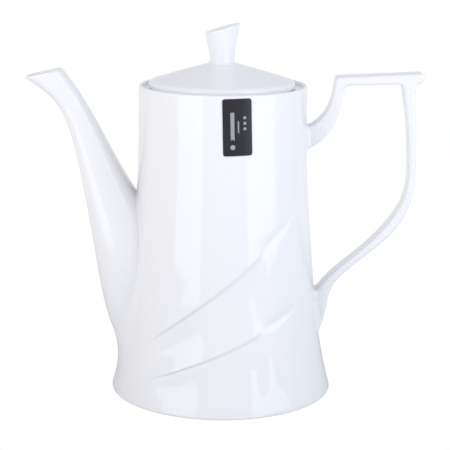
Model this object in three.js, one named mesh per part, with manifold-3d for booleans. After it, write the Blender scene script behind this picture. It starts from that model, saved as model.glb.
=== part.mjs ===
// A tall glazed porcelain coffee pot with a lift-off lid, as an assembly of its separately made pieces.
//
// Millimetres, +Z up. The origin is on the body's axis, on the surface that the pot stands on.
// The spout points along -X, the handle along +X, and the front of the pot faces -Y.

import * as THREE from "three";
import { LoftGeometry } from "three/addons/geometries/LoftGeometry.js";
import { mergeVertices } from "three/addons/utils/BufferGeometryUtils.js";
import Module from "manifold-3d";

const wasm = await Module();
wasm.setup();

// ---------------------------------------------------------------- driving dimensions

const JOINT_GAP = 0.3; // between two pieces that are luted or glued face to face
const ROUND_FACETS = 60; // facets round the body and the lid

// Body: a waisted cylinder that flares to its foot.
const RIM_HEIGHT = 172;
const RIM_RADIUS = 46;
const FOOT_RADIUS = 62;
const WALL = 3.2;
const LIP_THICKNESS = 2.2;
const FLOOR_THICKNESS = 4;
const FLOOR_CORNER_RADIUS = 8;
const FLOOR_CORNER_CLEARANCE = 2; // no wall point lies closer than this above the corner
const BODY_STEPS = 18; // points up the outside

// Foot: the body's underside is recessed inside a ground, unglazed bearing ring.
const FOOT_RING_OUTER = 59.4;
const FOOT_RING_WIDTH = 3.6;
const FOOT_RING_HEIGHT = 1.4;
const FOOT_CLEARANCE = 0.6; // glazed edge of the foot above the table
const FOOT_RECESS = 3.4;
const FOOT_RECESS_SLOPE = 1.5; // width of the slope between the recess and the ring's groove
const FOOT_EDGE_RADIUS = 0.8;
const FOOT_EDGE_INSET = 0.3; // the flare ends this far inside the foot's radius
const FOOT_EDGE_RISE = 0.9; // and this far above the glazed edge
const FOOT_RING_CHAMFER = 0.4;

// Gallery: the ledge inside the rim that the lid rests on.
const LEDGE_DEPTH = 1.8;
const LEDGE_THICKNESS = 3.6;
const MOUTH_RADIUS = 37.4;
const LEDGE_EDGE_RADIUS = 0.8;
const LEDGE_FILLET = 0.4; // chamfer where the ledge meets the lip
const LEDGE_UNDERCUT = 1.4;
const LEDGE_BLEND = 8; // height over which the wall thickens into the ledge

// Lid: it lies a little off centre in the gallery, towards the spout.
const LID_X = -0.6;
const LID_RADIUS = 40.1;
const LID_EDGE = 2.6;
const LID_SHELL = 3.2;
const LID_PITCH = 0.295; // rise of the dome per millimetre towards the axis
const LID_SEAT_GAP = 0.2;
const LID_SEAT_CHAMFER = 0.8;
const LID_SHOULDER_INSET = 2.6; // the rolled edge turns into the dome this far in
const LID_SHOULDER_RISE = 1.8;
const LID_EDGE_DROP = 0.7; // how far under the shoulder the rolled edge starts to turn
const LID_BOSS = 1; // extra thickness under the knob
const LID_HOLLOW_INSET = 4; // corner of the hollow underside
const LID_HOLLOW_DROP = 2;
const COLLAR_RADIUS = 35.2;
const COLLAR_THICKNESS = 2.8;
const COLLAR_LENGTH = 10;
const COLLAR_CHAMFER = 1;

// Knob: flared, with its top cut off at a slant that rises towards the handle.
const KNOB_BASE_RADIUS = 6.6;
const KNOB_TOP_RADIUS = 9.4;
const KNOB_HEIGHT = 19; // on its own axis
const KNOB_SLANT = THREE.MathUtils.degToRad(16);
const KNOB_LEVELS = 6;
const KNOB_FACETS = 32;

// Spout: a swan-neck shell that ends in a slanted pouring lip.
const SPOUT_WALL = 2.4;
const SPOUT_STATIONS = 22;
const SPOUT_FACETS = 24;
const SPOUT_OVERRUN = 4; // how far the channel's cutter runs out past the lip
const SPOUT_RUN_OUT = new THREE.Vector3(-0.5, 0, 0.87); // direction of the channel at the lip
const POURING_HOLE_WIDTH = 18;
const POURING_HOLE_HEIGHT = 40;
const POURING_HOLE_CENTRE = 74; // height above the table

// Handle: a flat strap, bent at sharp corners, with two roots on the body.
const HANDLE_WIDTH = 13.5;
const HANDLE_EDGE_RADIUS = 1.6;

// Label: a thin rounded rectangle stuck on below the rim, a little towards the handle.
const LABEL_WIDTH = 15.4;
const LABEL_HEIGHT = 30;
const LABEL_CORNER = 1.2;
const LABEL_THICKNESS = 0.5;
const LABEL_CENTRE_HEIGHT = 155.5;
const LABEL_AZIMUTH = THREE.MathUtils.degToRad(9.5);
const LABEL_TILT = THREE.MathUtils.degToRad(1.5);

// ---------------------------------------------------------------- helpers

const point = (x, y) => new THREE.Vector2(x, y);

/** A spline through [x, y] pairs. */
function spline(pairs) {
  return new THREE.SplineCurve(pairs.map(([x, y]) => point(x, y)));
}

/** A geometry as a manifold-3d solid: only its positions, with shared vertices merged. */
function solidOf(geometry) {
  const bare = new THREE.BufferGeometry();
  bare.setAttribute("position", geometry.getAttribute("position"));
  bare.setIndex(geometry.getIndex());
  const merged = mergeVertices(bare, 1e-3);
  return new wasm.Manifold(
    new wasm.Mesh({
      numProp: 3,
      vertProperties: merged.getAttribute("position").array,
      triVerts: new Uint32Array(merged.getIndex().array),
    }),
  );
}

/** A manifold-3d solid as a three.js geometry. */
function geometryOf(solid) {
  const { vertProperties, triVerts } = solid.getMesh();
  const geometry = new THREE.BufferGeometry();
  geometry.setAttribute("position", new THREE.BufferAttribute(vertProperties, 3));
  geometry.setIndex(new THREE.BufferAttribute(triVerts, 1));
  geometry.computeVertexNormals();
  return geometry;
}

/** A profile of (radius, height) points turned about the Z axis. */
function turned(profile, facets = ROUND_FACETS) {
  return new THREE.LatheGeometry(profile, facets).rotateX(Math.PI / 2);
}

/** An arc of (radius, height) points about a centre, from one angle to another in degrees. */
function arc(radius, height, size, from, to, steps = 4) {
  return Array.from({ length: steps + 1 }, (_, i) => {
    const angle = THREE.MathUtils.degToRad(from + ((to - from) * i) / steps);
    return point(radius + size * Math.cos(angle), height + size * Math.sin(angle));
  });
}

/** One named piece of the pot, with its own material. */
function piece(name, geometry, color, roughness) {
  const material = new THREE.MeshStandardMaterial({ color, roughness, metalness: 0 });
  const mesh = new THREE.Mesh(geometry, material);
  mesh.name = name;
  return mesh;
}

const GLAZED_WHITE = 0xf3f5fa;
const GLAZE_ROUGHNESS = 0.1;
const BISQUE_WHITE = 0xe9e6df;
const BISQUE_ROUGHNESS = 0.85;
const LABEL_BLACK = 0x0b0c12;
const LABEL_ROUGHNESS = 0.3;

// ---------------------------------------------------------------- body

/** The body's outside from the foot edge to the lip, as (radius, height). */
const bodyCurve = spline([
  [FOOT_RADIUS - FOOT_EDGE_INSET, FOOT_CLEARANCE + FOOT_EDGE_RISE],
  [57.9, 16],
  [54.7, 36],
  [51, 66],
  [48.9, 96],
  [46.8, 122],
  [46.2, 148],
  [RIM_RADIUS, RIM_HEIGHT - LIP_THICKNESS / 2],
]);
const bodyOutside = bodyCurve.getSpacedPoints(BODY_STEPS);

/** The body's radius at a height, read off its outside curve. */
function bodyRadius(height) {
  const above = bodyOutside.findIndex((p) => p.y >= height);
  const [low, high] = [bodyOutside[above - 1], bodyOutside[above]];
  return THREE.MathUtils.mapLinear(height, low.y, high.y, low.x, high.x);
}

/** A plug of the body's outside grown by a gap, for cutting what is luted or glued to it. */
function bodyPlug(gap) {
  const skin = bodyOutside.map((p) => point(p.x + gap, p.y));
  const [bottom, top] = [skin[0], skin.at(-1)];
  return solidOf(turned([point(0, bottom.y), ...skin, point(0, top.y)]));
}

function footProfile() {
  const grooveTop = FOOT_RING_HEIGHT + JOINT_GAP;
  const grooveInner = FOOT_RING_OUTER - FOOT_RING_WIDTH - JOINT_GAP;
  const grooveOuter = FOOT_RING_OUTER + JOINT_GAP;
  const edge = FOOT_EDGE_RADIUS;
  return [
    point(0, FOOT_RECESS),
    point(grooveInner - FOOT_RECESS_SLOPE, FOOT_RECESS),
    point(grooveInner, grooveTop),
    point(grooveOuter, grooveTop),
    point(grooveOuter, FOOT_CLEARANCE),
    ...arc(FOOT_RADIUS - edge, FOOT_CLEARANCE + edge, edge, -90, -20, 3),
  ];
}

function galleryProfile() {
  const lip = LIP_THICKNESS / 2;
  const ledgeTop = RIM_HEIGHT - LEDGE_DEPTH;
  const ledgeBottom = ledgeTop - LEDGE_THICKNESS;
  const edge = LEDGE_EDGE_RADIUS;
  return [
    ...arc(RIM_RADIUS - lip, RIM_HEIGHT - lip, lip, 30, 150, 4),
    point(RIM_RADIUS - LIP_THICKNESS, ledgeTop + LEDGE_FILLET),
    point(RIM_RADIUS - LIP_THICKNESS - LEDGE_FILLET, ledgeTop),
    ...arc(MOUTH_RADIUS + edge, ledgeTop - edge, edge, 90, 180, 2),
    point(MOUTH_RADIUS, ledgeBottom),
    point(MOUTH_RADIUS + LEDGE_UNDERCUT, ledgeBottom - LEDGE_UNDERCUT),
  ];
}

/** The inside wall, down from under the gallery to the middle of the floor. */
function insideProfile() {
  const wallTop = RIM_HEIGHT - LEDGE_DEPTH - LEDGE_THICKNESS - LEDGE_BLEND;
  const floorTop = FOOT_RECESS + FLOOR_THICKNESS;
  const cornerTop = floorTop + FLOOR_CORNER_RADIUS;
  const wall = bodyOutside
    .filter((p) => p.y > cornerTop + FLOOR_CORNER_CLEARANCE && p.y < wallTop)
    .map((p) => point(p.x - WALL, p.y))
    .reverse();
  const corner = bodyRadius(cornerTop) - WALL - FLOOR_CORNER_RADIUS;
  return [
    point(bodyRadius(wallTop) - WALL, wallTop),
    ...wall,
    ...arc(corner, cornerTop, FLOOR_CORNER_RADIUS, 0, -90, 4),
    point(0, floorTop),
  ];
}

/** An upright oval hole through the body's wall, under the root of the spout. */
function pouringHole() {
  const oval = new THREE.Shape().absellipse(
    0, 0, POURING_HOLE_WIDTH / 2, POURING_HOLE_HEIGHT / 2, 0, 2 * Math.PI,
  );
  const reach = FOOT_RADIUS;
  const cutter = new THREE.ExtrudeGeometry(oval, {
    depth: reach,
    curveSegments: 12,
    bevelEnabled: false,
  });
  cutter.rotateX(Math.PI / 2);
  cutter.rotateZ(-Math.PI / 2);
  cutter.translate(0, 0, POURING_HOLE_CENTRE);
  return solidOf(cutter);
}

function potBody() {
  const shell = turned([...footProfile(), ...bodyOutside, ...galleryProfile(), ...insideProfile()]);
  return geometryOf(solidOf(shell).subtract(pouringHole()));
}

function footRing() {
  const outer = FOOT_RING_OUTER;
  const inner = FOOT_RING_OUTER - FOOT_RING_WIDTH;
  const chamfer = FOOT_RING_CHAMFER;
  return turned([
    point(inner + chamfer, 0),
    point(outer - chamfer, 0),
    point(outer, chamfer),
    point(outer, FOOT_RING_HEIGHT),
    point(inner, FOOT_RING_HEIGHT),
    point(inner, chamfer),
    point(inner + chamfer, 0),
  ]);
}

// ---------------------------------------------------------------- spout

// Two rails in the XZ plane, from the root inside the body up to the lip: the outer one is the
// spout's breast, the inner one its throat. Each section spans the two rails.
const spoutBreast = spline([
  [-53, 19], [-60.3, 33], [-66.7, 56], [-71.7, 86],
  [-77.6, 119], [-84, 146], [-92.9, 163.4], [-107.6, 174.7],
]);
const spoutThroat = spline([
  [-34, 19], [-34, 35], [-34, 60], [-36, 90],
  [-50.4, 116.2], [-65.4, 143.6], [-77.6, 165.4], [-87.4, 179.4],
]);
const spoutHalfWidth = spline([
  [0, 11], [1, 18], [2, 22.5], [3, 22.5], [4, 15], [5, 10.2], [6, 8.6], [7, 8.4],
]);

/** The spout's solid outline, shrunk all round by an inset and run on past the lip by an overrun. */
function spoutLoft(inset, overrun) {
  const sections = Array.from({ length: SPOUT_STATIONS + 1 }, (_, i) => {
    const t = i / SPOUT_STATIONS;
    const breast = spoutBreast.getPoint(t);
    const throat = spoutThroat.getPoint(t);
    const across = throat.clone().sub(breast);
    const halfLength = across.length() / 2 - inset;
    const halfWidth = spoutHalfWidth.getPoint(t).y - inset;
    const centre = breast.clone().add(throat).divideScalar(2);
    across.normalize();
    return Array.from({ length: SPOUT_FACETS }, (_, j) => {
      const angle = (j / SPOUT_FACETS) * 2 * Math.PI;
      const along = halfLength * Math.cos(angle);
      return new THREE.Vector3(
        centre.x + across.x * along,
        halfWidth * Math.sin(angle),
        centre.y + across.y * along,
      );
    });
  });
  if (overrun > 0) {
    const last = sections.at(-1);
    const run = SPOUT_RUN_OUT.clone().multiplyScalar(overrun);
    sections.push(last.map((p) => p.clone().add(run)));
  }
  return solidOf(new LoftGeometry(sections, { capStart: true, capEnd: true }));
}

function spout() {
  const shell = spoutLoft(0, 0).subtract(spoutLoft(SPOUT_WALL, SPOUT_OVERRUN));
  return geometryOf(shell.subtract(bodyPlug(JOINT_GAP)));
}

// ---------------------------------------------------------------- handle

/** The strap seen from the side, drawn in X and Z, with both roots run into the body. */
function handleOutline() {
  const outline = new THREE.Shape();
  const curveTo = (...pairs) => outline.splineThru(pairs.map(([x, z]) => point(x, z)));
  outline.moveTo(38, 137);
  outline.lineTo(45, 137.6);
  curveTo([50, 139.3], [57.8, 146.4], [63.2, 157.6], [65.4, 168.6]);
  outline.quadraticCurveTo(66, 172.6, 69, 172.7);
  outline.lineTo(94.6, 173.4);
  outline.quadraticCurveTo(97.6, 173.4, 98, 170);
  curveTo(
    [100.9, 150], [102.3, 128], [101, 112.6], [94, 98.4],
    [79.4, 82.2], [62.9, 68], [46, 50],
  );
  outline.lineTo(46, 34);
  outline.lineTo(55, 35);
  curveTo(
    [58, 41], [59.4, 50.5], [63, 61.4], [77, 75.2],
    [94, 90.2], [103.2, 105.6], [106.3, 126], [104.8, 168.6],
  );
  outline.quadraticCurveTo(104.8, 173.4, 107.2, 174.2);
  outline.quadraticCurveTo(109.4, 174.8, 109.4, 177);
  outline.quadraticCurveTo(109.4, 179.6, 106.8, 179.4);
  outline.lineTo(63.4, 177.2);
  outline.quadraticCurveTo(61.2, 177, 60.9, 174.6);
  curveTo([59.2, 165.2], [54.4, 155.4], [45, 148.2]);
  outline.lineTo(38, 145);
  return outline;
}

function handle() {
  const strap = new THREE.ExtrudeGeometry(handleOutline(), {
    depth: HANDLE_WIDTH - 2 * HANDLE_EDGE_RADIUS,
    curveSegments: 3,
    bevelEnabled: true,
    bevelSize: HANDLE_EDGE_RADIUS,
    bevelOffset: -HANDLE_EDGE_RADIUS,
    bevelThickness: HANDLE_EDGE_RADIUS,
    bevelSegments: 2,
  });
  strap.rotateX(Math.PI / 2);
  strap.translate(0, HANDLE_WIDTH / 2 - HANDLE_EDGE_RADIUS, 0);
  return geometryOf(solidOf(strap).subtract(bodyPlug(JOINT_GAP)));
}

// ---------------------------------------------------------------- lid

const lidSeat = RIM_HEIGHT - LEDGE_DEPTH + LID_SEAT_GAP;
const lidShoulder = point(LID_RADIUS - LID_SHOULDER_INSET, lidSeat + LID_EDGE + LID_SHOULDER_RISE);
const flatRadius = KNOB_BASE_RADIUS + 1; // the dome's top is flat where the knob stands
const lidTop = point(flatRadius, lidShoulder.y + (lidShoulder.x - flatRadius) * LID_PITCH);

function lidCover() {
  const hollowRadius = COLLAR_RADIUS - COLLAR_THICKNESS;
  const hollowShoulder = lidShoulder.y - LID_SHELL - (hollowRadius - lidShoulder.x) * LID_PITCH;
  const edge = new THREE.QuadraticBezierCurve(
    point(LID_RADIUS, lidSeat + LID_EDGE),
    point(LID_RADIUS, lidShoulder.y - LID_EDGE_DROP),
    lidShoulder,
  );
  return turned([
    point(0, lidTop.y - LID_SHELL - LID_BOSS),
    point(hollowRadius - LID_HOLLOW_INSET, hollowShoulder - LID_HOLLOW_DROP),
    point(hollowRadius, lidSeat),
    point(LID_RADIUS - LID_SEAT_CHAMFER, lidSeat),
    point(LID_RADIUS, lidSeat + LID_SEAT_CHAMFER),
    ...edge.getPoints(5),
    lidTop,
    point(0, lidTop.y),
  ]);
}

function lidCollar() {
  const top = lidSeat - JOINT_GAP;
  const bottom = top - COLLAR_LENGTH;
  const outer = COLLAR_RADIUS;
  const inner = COLLAR_RADIUS - COLLAR_THICKNESS;
  const chamfer = COLLAR_CHAMFER;
  return turned([
    point(inner, bottom + chamfer),
    point(inner + chamfer, bottom),
    point(outer - chamfer, bottom),
    point(outer, bottom + chamfer),
    point(outer, top),
    point(inner, top),
    point(inner, bottom + chamfer),
  ]);
}

function lidKnob() {
  const bottom = lidTop.y + JOINT_GAP;
  const sections = Array.from({ length: KNOB_LEVELS + 1 }, (_, i) => {
    const t = i / KNOB_LEVELS;
    const radius = THREE.MathUtils.lerp(KNOB_BASE_RADIUS, KNOB_TOP_RADIUS, t);
    return Array.from({ length: KNOB_FACETS }, (_, j) => {
      const angle = (j / KNOB_FACETS) * 2 * Math.PI;
      const x = radius * Math.cos(angle);
      const z = bottom + KNOB_HEIGHT * t + x * Math.tan(KNOB_SLANT) * t;
      return new THREE.Vector3(x, radius * Math.sin(angle), z);
    });
  });
  return new LoftGeometry(sections, { capStart: true, capEnd: true });
}

// ---------------------------------------------------------------- label

function roundedRectangle(width, height, corner) {
  const shape = new THREE.Shape();
  const [right, top] = [width / 2, height / 2];
  shape.moveTo(corner - right, -top);
  shape.lineTo(right - corner, -top);
  shape.absarc(right - corner, corner - top, corner, -Math.PI / 2, 0);
  shape.absarc(right - corner, top - corner, corner, 0, Math.PI / 2);
  shape.absarc(corner - right, top - corner, corner, Math.PI / 2, Math.PI);
  shape.absarc(corner - right, corner - top, corner, Math.PI, 1.5 * Math.PI);
  return shape;
}

/** The label is the slice of a thin skin round the body that a rounded rectangle covers. */
function label() {
  const outline = roundedRectangle(LABEL_WIDTH, LABEL_HEIGHT, LABEL_CORNER);
  const cutter = new THREE.ExtrudeGeometry(outline, {
    depth: FOOT_RADIUS,
    curveSegments: 4,
    bevelEnabled: false,
  });
  cutter.rotateZ(LABEL_TILT);
  cutter.rotateX(Math.PI / 2);
  cutter.rotateZ(LABEL_AZIMUTH);
  cutter.translate(0, 0, LABEL_CENTRE_HEIGHT);
  const skin = bodyPlug(JOINT_GAP + LABEL_THICKNESS).subtract(bodyPlug(JOINT_GAP));
  return geometryOf(skin.intersect(solidOf(cutter)));
}

// ---------------------------------------------------------------- assembly

const lid = new THREE.Group();
lid.position.x = LID_X;
lid.add(
  piece("lid_cover", lidCover(), GLAZED_WHITE, GLAZE_ROUGHNESS),
  piece("lid_collar", lidCollar(), GLAZED_WHITE, GLAZE_ROUGHNESS),
  piece("lid_knob", lidKnob(), GLAZED_WHITE, GLAZE_ROUGHNESS),
);

const pot = new THREE.Group();
pot.add(
  piece("pot_body", potBody(), GLAZED_WHITE, GLAZE_ROUGHNESS),
  piece("foot_ring", footRing(), BISQUE_WHITE, BISQUE_ROUGHNESS),
  piece("spout", spout(), GLAZED_WHITE, GLAZE_ROUGHNESS),
  piece("handle", handle(), GLAZED_WHITE, GLAZE_ROUGHNESS),
  piece("label", label(), LABEL_BLACK, LABEL_ROUGHNESS),
  lid,
);

export default pot;
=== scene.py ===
# %% [markdown]
# # A glazed porcelain coffee pot
# The pot is slip-cast porcelain: liquid clay is poured into plaster moulds, the body, spout, handle
# and lid are cast apart, luted together while still leather-hard, and glazed and fired as one.
# The CAD model of this pot is already packed. It fixes every size, place and joint, so it is loaded
# first and never changed. Everything below adds the finished surfaces round it.

# %% Load the fixed frame
import math

import bmesh
import bpy
import numpy as np
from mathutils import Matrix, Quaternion, Vector


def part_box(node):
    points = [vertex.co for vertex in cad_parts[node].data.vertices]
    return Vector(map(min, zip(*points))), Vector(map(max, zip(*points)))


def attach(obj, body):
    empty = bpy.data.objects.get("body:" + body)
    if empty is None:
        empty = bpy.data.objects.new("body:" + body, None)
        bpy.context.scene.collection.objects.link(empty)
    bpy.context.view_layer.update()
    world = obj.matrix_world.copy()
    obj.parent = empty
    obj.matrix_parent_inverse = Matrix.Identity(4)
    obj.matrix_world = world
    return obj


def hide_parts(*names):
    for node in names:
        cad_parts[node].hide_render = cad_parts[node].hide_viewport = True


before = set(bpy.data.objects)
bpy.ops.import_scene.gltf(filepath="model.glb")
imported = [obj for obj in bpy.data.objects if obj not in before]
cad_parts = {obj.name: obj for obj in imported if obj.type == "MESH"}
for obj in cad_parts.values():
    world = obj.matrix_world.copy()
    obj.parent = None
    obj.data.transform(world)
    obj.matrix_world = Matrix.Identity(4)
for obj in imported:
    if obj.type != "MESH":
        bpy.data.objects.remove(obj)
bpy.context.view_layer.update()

MM = 0.001
print("nodes:", ", ".join(sorted(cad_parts)))

# %% [markdown]
# ## The camera
# A table-top product picture is taken from a little above, with a long lens, so that the upright
# sides stay nearly parallel. The camera is about 0.8 m away and tilts down to the pot.

# %% Camera
CAMERA_PLACE = Vector((0, -0.8038, 0.2767))
CAMERA_PITCH = math.radians(-12.858)
CAMERA_YAW = math.radians(0.121)
CAMERA_ROLL = math.radians(0.5)
LENS_MM = 118.16
SENSOR_MM = 36

camera_data = bpy.data.cameras.new("camera")
camera_data.lens = LENS_MM
camera_data.sensor_width = SENSOR_MM
camera = bpy.data.objects.new("camera", camera_data)
bpy.context.scene.collection.objects.link(camera)
level = math.cos(CAMERA_PITCH)
look = Vector((math.sin(CAMERA_YAW) * level, math.cos(CAMERA_YAW) * level, math.sin(CAMERA_PITCH)))
camera.location = CAMERA_PLACE
camera.rotation_mode = "QUATERNION"
camera.rotation_quaternion = look.to_track_quat("-Z", "Y") @ Quaternion((0, 0, 1), CAMERA_ROLL)
bpy.context.scene.camera = camera
print("camera is", round(CAMERA_PLACE.length, 3), "m from the foot of the pot")

# %% [markdown]
# ## Light and floor
# White glaze shows its form only by what it mirrors. Two tall soft boxes stand to the left and the
# right in front of the pot. Each draws one upright bright band down the round body. A pale dome
# fills the shadows. It is darker overhead than at the horizon, as a studio is.

# %% A helper that adds one node
def add_node(tree, kind, settings=None, links=None):
    """One shader node: settings go to its sockets or its own fields, links join sockets to its inputs."""
    node = tree.nodes.new(kind)
    for name, value in (settings or {}).items():
        if isinstance(name, str) and hasattr(node, name):
            setattr(node, name, value)
        else:
            node.inputs[name].default_value = value
    for name, source in (links or {}).items():
        tree.links.new(source, node.inputs[name])
    return node


def linear(hex_colour):
    """An sRGB hex colour as the linear RGBA that shaders work in."""
    channels = [int(hex_colour[i : i + 2], 16) / 255 for i in (0, 2, 4)]
    curve = [c / 12.92 if c <= 0.04045 else ((c + 0.055) / 1.055) ** 2.4 for c in channels]
    return (*curve, 1.0)


# %% Dome
HORIZON_LIGHT = 0.88
ZENITH_LIGHT = 0.56

world = bpy.data.worlds.new("studio")
world.use_nodes = True
bpy.context.scene.world = world
sky = world.node_tree
sky.nodes.clear()
direction = add_node(sky, "ShaderNodeTexCoord")
height = add_node(sky, "ShaderNodeSeparateXYZ", links={0: direction.outputs["Generated"]})
strength = add_node(
    sky, "ShaderNodeMapRange",
    {"From Min": 0.0, "From Max": 1.0, "To Min": HORIZON_LIGHT, "To Max": ZENITH_LIGHT},
    {"Value": height.outputs["Z"]},
)
dome = add_node(
    sky, "ShaderNodeBackground", {"Color": linear("FBFCFF")}, {"Strength": strength.outputs["Result"]}
)
add_node(sky, "ShaderNodeOutputWorld", links={"Surface": dome.outputs["Background"]})
bpy.context.scene.view_settings.view_transform = "Standard"
bpy.context.scene.view_settings.look = "None"


# %% Soft boxes
BOX_DISTANCE = 0.66
BOX_HEIGHT = 1.1
BOX_CLEARANCE = 0.01


def soft_box(name, azimuth, width, radiance, colour):
    """An upright soft box on the floor; azimuth is in degrees from the front, to the right."""
    light = bpy.data.lights.new(name, "AREA")
    light.shape = "RECTANGLE"
    light.size = width
    light.size_y = BOX_HEIGHT
    light.energy = radiance * math.pi * width * BOX_HEIGHT
    light.color = linear(colour)[:3]
    box = bpy.data.objects.new(name, light)
    angle = math.radians(azimuth)
    box.location = (
        BOX_DISTANCE * math.sin(angle), -BOX_DISTANCE * math.cos(angle), BOX_CLEARANCE + BOX_HEIGHT / 2
    )
    inward = Vector((-box.location.x, -box.location.y, 0))
    box.rotation_mode = "QUATERNION"
    box.rotation_quaternion = inward.to_track_quat("-Z", "Y")
    box.visible_camera = False
    bpy.context.scene.collection.objects.link(box)


soft_box("left_soft_box", -43, 0.41, 1.36, "FFFFFF")
soft_box("right_soft_box", 52.5, 0.49, 1.54, "E2EEFF")

# %% [markdown]
# The floor is two sheets in one place. The camera sees a pure white one, as a table is printed in a
# catalogue. The pot is lit by, and mirrors, a sheet of pale grey paper. That sheet is given a painted glow
# that grows further out: painted light in place of lamps at the edges of the table, and painted shade near
# the pot, where it does not glow. The upper body mirrors the far part and the foot the near part, so the
# sides of the pot are bright above and a little darker towards the foot.

# %% Floor
FLOOR_SIZE = 16
# The paper's painted glow: none near the pot, as painted shade, and full further out, as painted light
# from lamps.
GLOW_STARTS = 0.05  # distances from the pot's axis, in metres
GLOW_IS_FULL = 0.5
FULL_GLOW = 0.4


def floor_sheet(name, colour, glow):
    """A large flat sheet on the ground: matt paper of a colour, which may glow to a clean white."""
    sheet = bmesh.new()
    bmesh.ops.create_grid(sheet, x_segments=1, y_segments=1, size=FLOOR_SIZE / 2)
    mesh = bpy.data.meshes.new(name)
    sheet.to_mesh(mesh)
    sheet.free()
    material = bpy.data.materials.new(name)
    material.use_nodes = True
    paper = material.node_tree.nodes["Principled BSDF"]
    paper.inputs["Base Color"].default_value = linear(colour)
    paper.inputs["Roughness"].default_value = 1.0
    paper.inputs["Specular IOR Level"].default_value = 0.0
    paper.inputs["Emission Color"].default_value = (1, 1, 1, 1)
    paper.inputs["Emission Strength"].default_value = glow
    mesh.materials.append(material)
    floor = bpy.data.objects.new(name, mesh)
    bpy.context.scene.collection.objects.link(floor)
    return floor


def painted_glow_outwards(floor):
    """Paints light on a sheet as a glow, from nothing near the pot (painted shade) to FULL_GLOW further
    out.
    """
    tree = floor.data.materials[0].node_tree
    place = add_node(tree, "ShaderNodeTexCoord").outputs["Object"]
    distance = add_node(tree, "ShaderNodeVectorMath", {"operation": "LENGTH"}, {0: place})
    level_here = add_node(
        tree, "ShaderNodeMapRange",
        {"From Min": GLOW_STARTS, "From Max": GLOW_IS_FULL, "To Min": 0.0, "To Max": FULL_GLOW},
        {"Value": distance.outputs["Value"]},
    )
    paper = tree.nodes["Principled BSDF"]
    tree.links.new(level_here.outputs["Result"], paper.inputs["Emission Strength"])


white_floor = floor_sheet("white_floor", "000000", 1.0)
white_floor.visible_diffuse = False
white_floor.visible_glossy = False
white_floor.visible_transmission = False
white_floor.visible_shadow = False
paper_floor = floor_sheet("paper_floor", "D8D8D6", 0.0)
paper_floor.visible_camera = False
# The grey paper gets painted light: a glow that rises away from the pot.
painted_glow_outwards(paper_floor)

# %% [markdown]
# ## Glaze and bisque
# Porcelain is a hard white clay. Where it is glazed, a clear glass coat lies on it: diffuse white
# under a sharp mirror. The coat is never quite flat. It has a very shallow, long ripple, which
# bends the mirrored soft boxes a little, and it is faintly bluer where it lies thick.

# %% Glazed porcelain
GLAZE_RIPPLE_MM = 9
GLAZE_RIPPLE_DEPTH_MM = 0.006
GLAZE_CLOUD_MM = 45


def glazed_porcelain():
    """White porcelain under a clear gloss glaze: a diffuse body with a sharp coat on it."""
    material = bpy.data.materials.new("glazed_porcelain")
    material.use_nodes = True
    tree = material.node_tree
    place = add_node(tree, "ShaderNodeTexCoord").outputs["Object"]
    clouds = add_node(
        tree, "ShaderNodeTexNoise", {"Scale": 1 / (GLAZE_CLOUD_MM * MM), "Detail": 2.0}, {"Vector": place}
    )
    tint = add_node(
        tree, "ShaderNodeMix", {"data_type": "RGBA", 6: linear("EBEBEF"), 7: linear("EEEDEF")},
        {0: clouds.outputs["Fac"]},
    )
    ripple = add_node(
        tree, "ShaderNodeTexNoise", {"Scale": 1 / (GLAZE_RIPPLE_MM * MM), "Detail": 1.0}, {"Vector": place}
    )
    bump = add_node(
        tree, "ShaderNodeBump", {"Strength": 1.0, "Distance": GLAZE_RIPPLE_DEPTH_MM * MM},
        {"Height": ripple.outputs["Fac"]},
    )
    surface = tree.nodes["Principled BSDF"]
    surface.inputs["Roughness"].default_value = 0.6
    surface.inputs["Specular IOR Level"].default_value = 0.0
    surface.inputs["Coat Weight"].default_value = 1.0
    surface.inputs["Coat Roughness"].default_value = 0.035
    surface.inputs["Coat IOR"].default_value = 1.5
    tree.links.new(tint.outputs[2], surface.inputs["Base Color"])
    tree.links.new(bump.outputs["Normal"], surface.inputs["Coat Normal"])
    return material


def unglazed_bisque():
    """The ground foot: bare fired clay, matt and slightly warm, with a fine sandy grain."""
    grain_mm = 0.5  # the real grain is about 0.05 mm; it is drawn coarser so that it shows
    material = bpy.data.materials.new("unglazed_bisque")
    material.use_nodes = True
    tree = material.node_tree
    place = add_node(tree, "ShaderNodeTexCoord").outputs["Object"]
    grain = add_node(
        tree, "ShaderNodeTexNoise", {"Scale": 1 / (grain_mm * MM), "Detail": 3.0}, {"Vector": place}
    )
    tint = add_node(
        tree, "ShaderNodeMix", {"data_type": "RGBA", 6: linear("DED9CE"), 7: linear("EFECE4")},
        {0: grain.outputs["Fac"]},
    )
    bump = add_node(
        tree, "ShaderNodeBump", {"Strength": 0.6, "Distance": 0.05 * MM}, {"Height": grain.outputs["Fac"]}
    )
    surface = tree.nodes["Principled BSDF"]
    surface.inputs["Roughness"].default_value = 0.92
    tree.links.new(tint.outputs[2], surface.inputs["Base Color"])
    tree.links.new(bump.outputs["Normal"], surface.inputs["Normal"])
    return material


PORCELAIN = glazed_porcelain()
BISQUE = unglazed_bisque()

# %% [markdown]
# ## Shared modelling steps
# Three steps come back for every piece: a smooth line through a few points, a ring of points that
# is extruded into the next ring, and the finishing of a mesh into a piece that rides on its body.

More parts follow.
